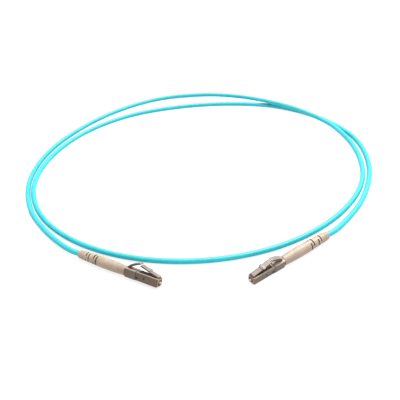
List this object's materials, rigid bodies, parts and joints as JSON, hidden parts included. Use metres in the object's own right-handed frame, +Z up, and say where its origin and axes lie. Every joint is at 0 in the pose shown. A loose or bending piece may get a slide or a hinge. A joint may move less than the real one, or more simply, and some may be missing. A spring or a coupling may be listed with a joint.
{
  "type": "fiber optic patch cord",
  "caption": "Simplex fiber optic patch cord: an aqua jacketed cable lying in a loop, with a latching LC plug and a beige boot on each end.",
  "frame": {"origin": "on the floor, below the middle of the box round the two plugs", "axes": "+X from the left plug towards the right plug, +Y from the plugs towards the far side of the loop, +Z up"},
  "size_m": [0.2181, 0.2328, 0.0096],
  "materials": {
    "jacket": "satin extruded cable jacket, aqua",
    "aramid": "yellow aramid yarn",
    "buffer": "smooth white tight buffer",
    "boot": "soft moulded plastic, cream beige",
    "plug": "moulded plastic, grey beige",
    "ceramic": "polished zirconia",
    "metal": "nickel plated",
    "spring": "drawn spring wire",
    "ptfe": "clear white tube"
  },
  "bodies": {
    "cord": {"left_plug_housing": "plug", "left_rear_body": "plug", "left_boot": "boot", "left_crimp_sleeve": "metal", "left_yarn_end": "aramid", "left_spring": "spring", "right_plug_housing": "plug", "right_rear_body": "plug", "right_boot": "boot", "right_crimp_sleeve": "metal", "right_yarn_end": "aramid", "right_spring": "spring", "cable_jacket": "jacket", "strength_yarn": "aramid", "fibre_buffer": "buffer"},
    "left_trigger": {"left_trigger": "plug"},
    "left_latch": {"left_latch": "plug"},
    "left_ferrule": {"left_ferrule": "ceramic", "left_ferrule_flange": "metal", "left_guide_tube": "ptfe"},
    "right_trigger": {"right_trigger": "plug"},
    "right_latch": {"right_latch": "plug"},
    "right_ferrule": {"right_ferrule": "ceramic", "right_ferrule_flange": "metal", "right_guide_tube": "ptfe"}
  },
  "joints": [
    {"name": "left_trigger_press", "type": "hinge", "parent": "cord", "child": "left_trigger", "pos_m": [-0.03628, -0.00098, 0.00551], "axis": [0.5133, 0.7469, -0.4226], "range_deg": [0, 14], "stiffness_Nm_per_rad": 0.02},
    {"name": "left_latch_press", "type": "hinge", "parent": "cord", "child": "left_latch", "pos_m": [-0.02195, -0.01086, 0.00544], "axis": [-0.5133, -0.7469, 0.4226], "range_deg": [0, 10.2], "stiffness_Nm_per_rad": 0.02},
    {"name": "left_ferrule_push", "type": "slide", "parent": "cord", "child": "left_ferrule", "axis": [-0.8241, 0.5664, 0], "range_m": [0, 0.0008], "stiffness_N_per_m": 1500, "deforming": ["left_spring"]},
    {"name": "right_trigger_press", "type": "hinge", "parent": "cord", "child": "right_trigger", "pos_m": [0.03674, -0.00671, 0.00566], "axis": [0.5393, -0.8305, -0.1392], "range_deg": [0, 14], "stiffness_Nm_per_rad": 0.02},
    {"name": "right_latch_press", "type": "hinge", "parent": "cord", "child": "right_latch", "pos_m": [0.02214, -0.01618, 0.00559], "axis": [-0.5393, 0.8305, 0.1392], "range_deg": [0, 10.2], "stiffness_Nm_per_rad": 0.02},
    {"name": "right_ferrule_push", "type": "slide", "parent": "cord", "child": "right_ferrule", "axis": [0.8387, 0.5446, 0], "range_m": [0, 0.0008], "stiffness_N_per_m": 1500, "deforming": ["right_spring"]}
  ],
  "couplings": [
    {"joint": "left_latch_press", "follows": "left_trigger_press", "ratio": 0.7},
    {"joint": "right_latch_press", "follows": "right_trigger_press", "ratio": 0.7}
  ]
}
